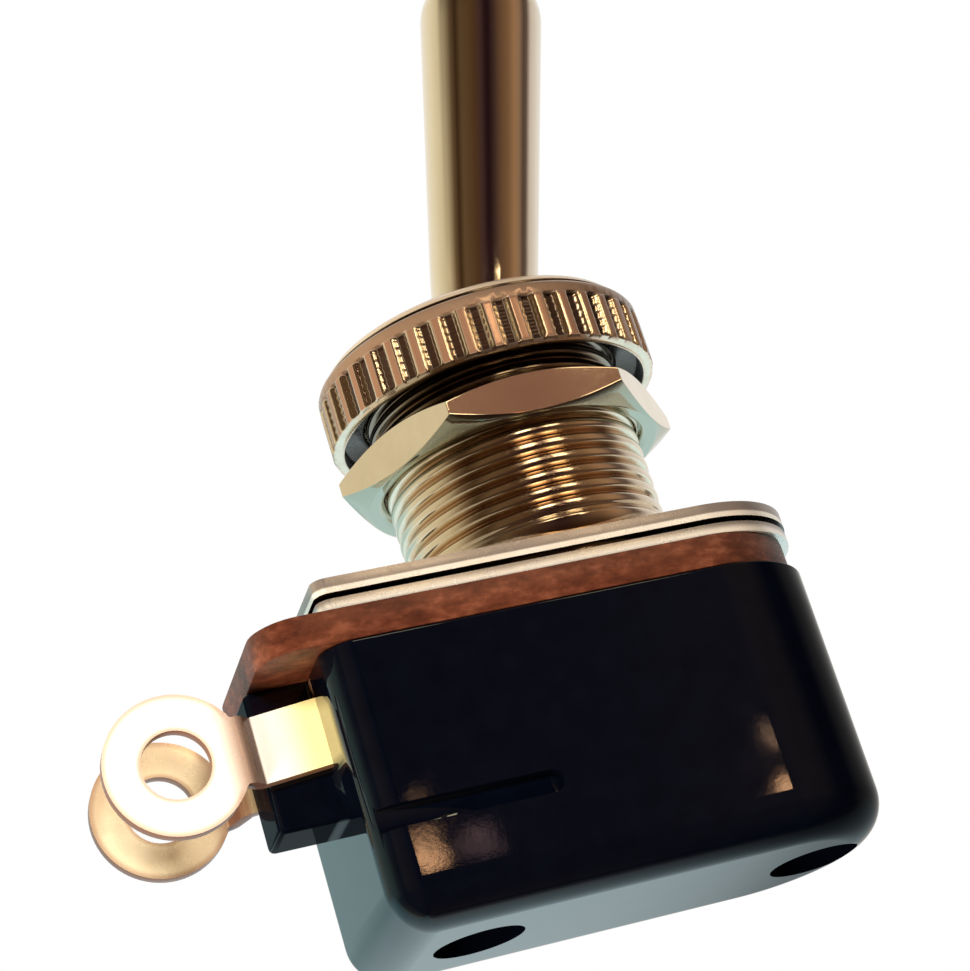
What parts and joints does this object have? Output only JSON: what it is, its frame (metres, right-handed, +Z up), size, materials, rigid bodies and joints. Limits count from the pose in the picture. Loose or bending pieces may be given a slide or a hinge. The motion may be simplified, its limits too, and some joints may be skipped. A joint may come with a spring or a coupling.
{
  "type": "panel toggle switch",
  "caption": "Bat-lever toggle switch with a threaded panel bushing, two nuts, a moulded case and two ring lugs.",
  "frame": {"origin": "on the bushing's axis, in the top face of the upper metal plate", "axes": "+Z up the bushing to the lever's side, +X along the case away from the lugs, +Y to the rear lug's side; the switch stands on the flat bottom of its case at z = -15.45 mm"},
  "size_m": [0.0339, 0.0156, 0.048],
  "materials": {
    "phenolic": "glossy black moulding",
    "vulcanised_fibre": "red-brown pressed fibre, satin",
    "nickel_plate": "nickel plate on brass, bright",
    "nickel_steel": "nickel plate on steel sheet",
    "tinned_brass": "bright tinned brass strip",
    "spring_steel": "drawn wire",
    "steel": "turned",
    "plunger_plastic": "brown moulding",
    "bare_brass": "turned",
    "silver": "polished",
    "rivet_brass": "dull"
  },
  "bodies": {
    "housing": {"case": "phenolic", "fibre_board": "vulcanised_fibre", "lower_plate": "nickel_steel", "upper_plate": "nickel_steel", "bushing": "nickel_plate", "pivot_pin": "steel", "front_terminal": "tinned_brass", "rear_terminal": "tinned_brass", "front_contact": "silver", "rear_contact": "silver", "left_rivet": "rivet_brass", "right_rivet": "rivet_brass"},
    "backing_nut": {"hex_nut": "nickel_plate"},
    "dress_nut": {"knurled_nut": "nickel_plate"},
    "lever": {"bat_lever": "nickel_plate", "lever_spring": "spring_steel"},
    "plunger": {"plunger": "plunger_plastic"},
    "roller": {"contact_roller": "bare_brass"}
  },
  "joints": [
    {"name": "lever_throw", "type": "hinge", "parent": "housing", "child": "lever", "pos_m": [0, 0, 0.0099], "axis": [0, 1, 0], "range_deg": [-32.3, 0]},
    {"name": "plunger_slide", "type": "slide", "parent": "lever", "child": "plunger", "axis": [0.2782, 0, 0.9605], "range_m": [0, 0.0006], "stiffness_N_per_m": 400, "springref_m": -0.002, "deforming": ["lever_spring"]},
    {"name": "roller_spin", "type": "hinge", "parent": "plunger", "child": "roller", "pos_m": [-0.00467, 0, -0.00624], "axis": [0, 1, 0], "continuous": true},
    {"name": "backing_nut_turn", "type": "hinge", "parent": "housing", "child": "backing_nut", "pos_m": [0, 0, 0.0063], "axis": [0, 0, 1], "continuous": true},
    {"name": "dress_nut_turn", "type": "hinge", "parent": "housing", "child": "dress_nut", "pos_m": [0, 0, 0.0102], "axis": [0, 0, 1], "continuous": true}
  ],
  "couplings": [
    {"joint": "roller_spin", "follows": "lever_throw", "ratio": -12.2}
  ]
}
